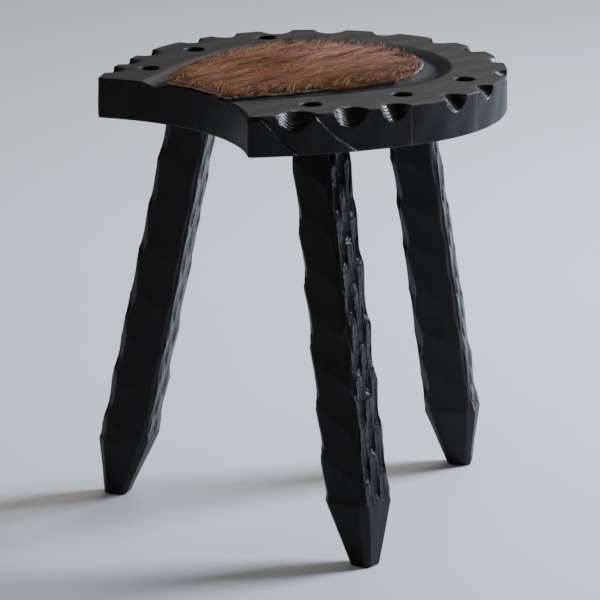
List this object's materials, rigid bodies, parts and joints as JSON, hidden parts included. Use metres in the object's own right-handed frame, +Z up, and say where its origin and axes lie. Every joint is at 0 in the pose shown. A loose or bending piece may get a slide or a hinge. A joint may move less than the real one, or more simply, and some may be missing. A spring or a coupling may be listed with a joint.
{
  "type": "three leg stool",
  "caption": "Low carved stool: a scalloped slab seat with a hollow front and a hair-on hide inlay, on three splayed gouged legs.",
  "frame": {"origin": "on the floor, under the middle of the whole stool's box", "axes": "+Z up; the seat's hollow front faces -Y and the single back leg stands towards +Y; +X is on the right of someone who looks along +Y, from the hollow front towards the back leg"},
  "size_m": [0.381, 0.4282, 0.4561],
  "materials": {
    "blackened_wood": "black-stained and waxed hardwood, gouge marks, worn brown at the edges",
    "brown_hide": "hair-on hide, reddish brown hair lying towards the hollow front, pale cut edge",
    "blued_steel": "dark blued steel tacks",
    "pale_wood": "unstained hardwood wedge"
  },
  "bodies": {
    "root": {"hide_panel": "brown_hide", "hide_tack_01": "blued_steel", "hide_tack_02": "blued_steel", "hide_tack_03": "blued_steel", "hide_tack_04": "blued_steel", "hide_tack_05": "blued_steel", "hide_tack_06": "blued_steel", "hide_tack_07": "blued_steel", "hide_tack_08": "blued_steel", "hide_tack_09": "blued_steel", "hide_tack_10": "blued_steel", "hide_tack_11": "blued_steel", "hide_tack_12": "blued_steel", "hide_tack_13": "blued_steel", "hide_tack_14": "blued_steel", "hide_tack_15": "blued_steel", "hide_tack_16": "blued_steel", "hide_tack_17": "blued_steel", "hide_tack_18": "blued_steel", "hide_tack_19": "blued_steel", "hide_tack_20": "blued_steel", "hide_tack_21": "blued_steel", "hide_tack_22": "blued_steel", "hide_tack_23": "blued_steel", "hide_tack_24": "blued_steel", "leg_back": "blackened_wood", "leg_left": "blackened_wood", "leg_right": "blackened_wood", "seat_slab": "blackened_wood", "tenon_wedge_back": "pale_wood", "tenon_wedge_left": "pale_wood", "tenon_wedge_right": "pale_wood"}
  },
  "joints": []
}
